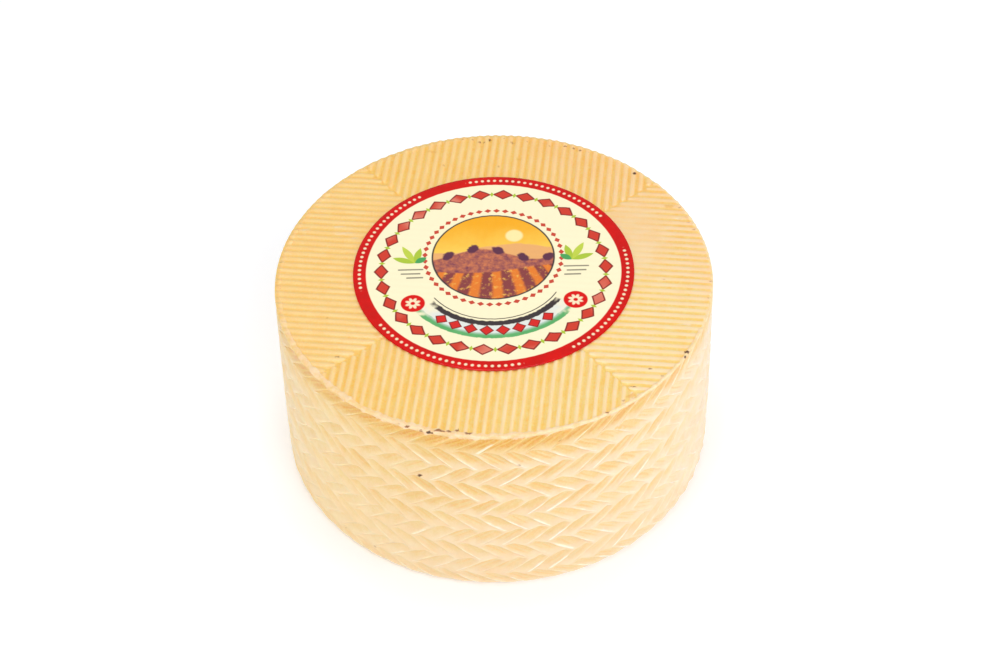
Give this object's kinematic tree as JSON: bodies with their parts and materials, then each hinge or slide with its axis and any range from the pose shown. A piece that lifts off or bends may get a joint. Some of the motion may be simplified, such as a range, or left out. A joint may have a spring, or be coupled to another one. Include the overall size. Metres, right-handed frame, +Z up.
{
  "type": "whole sheep's milk cheese wheel",
  "caption": "Whole uncut wheel of hard sheep's milk cheese with a plaited herringbone side, ridged faces and a round paper label on top.",
  "frame": {"origin": "centre of the resting face, where the wheel stands on a surface", "axes": "+Z up along the wheel's axis, -Y towards the front of the label, +X to the right as the label is read"},
  "size_m": [0.2058, 0.2058, 0.102],
  "materials": {
    "rind": "pale cream-yellow rind with a thin satin wax film",
    "label_paper": "coated paper print, red border round a cream field, slightly glossy"
  },
  "bodies": {
    "root": {"cheese_wheel": "rind", "label": "label_paper"}
  },
  "joints": []
}
